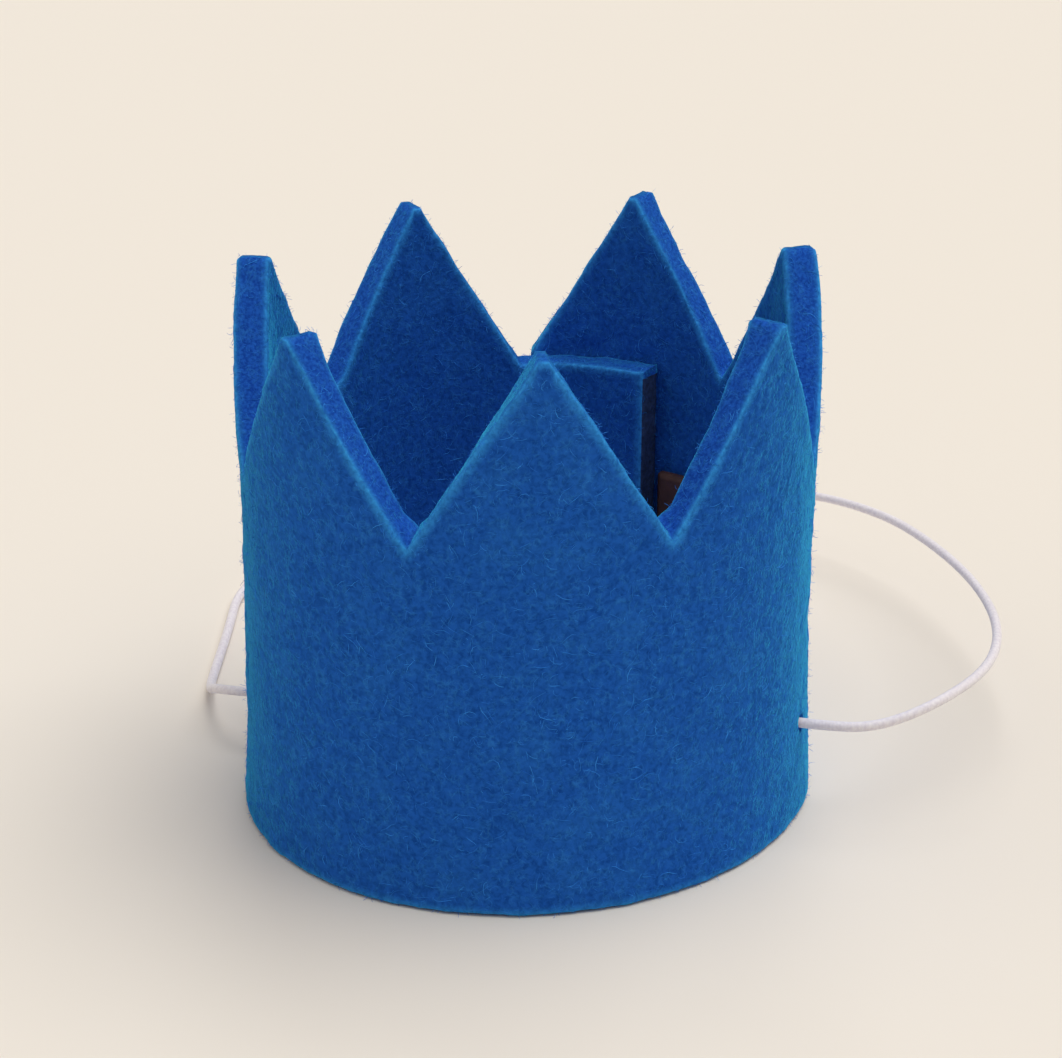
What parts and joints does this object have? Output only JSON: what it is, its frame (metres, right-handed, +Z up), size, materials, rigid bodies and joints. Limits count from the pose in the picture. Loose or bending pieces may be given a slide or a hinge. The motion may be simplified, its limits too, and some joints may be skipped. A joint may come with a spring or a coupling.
{
  "type": "felt crown",
  "caption": "Mini dress-up crown: a pointed strip of thick felt rolled into a ring, with a thin elastic cord looped between its sides.",
  "frame": {"origin": "on the surface that the crown stands on, under the middle of the felt ring's box", "axes": "+Z up through the open ring, -Y to the front, where one point stands near the middle; the seam is at the back"},
  "size_m": [0.0846, 0.0939, 0.054],
  "materials": {
    "felt": "pressed wool felt",
    "glue": "dried craft adhesive",
    "label": "thin bare patch",
    "elastic": "covered round elastic"
  },
  "bodies": {
    "root": {"felt_band": "felt", "seam_glue": "glue", "inner_label": "label", "elastic_cord": "elastic", "left_cord_knot": "elastic", "right_cord_knot": "elastic"}
  },
  "joints": []
}
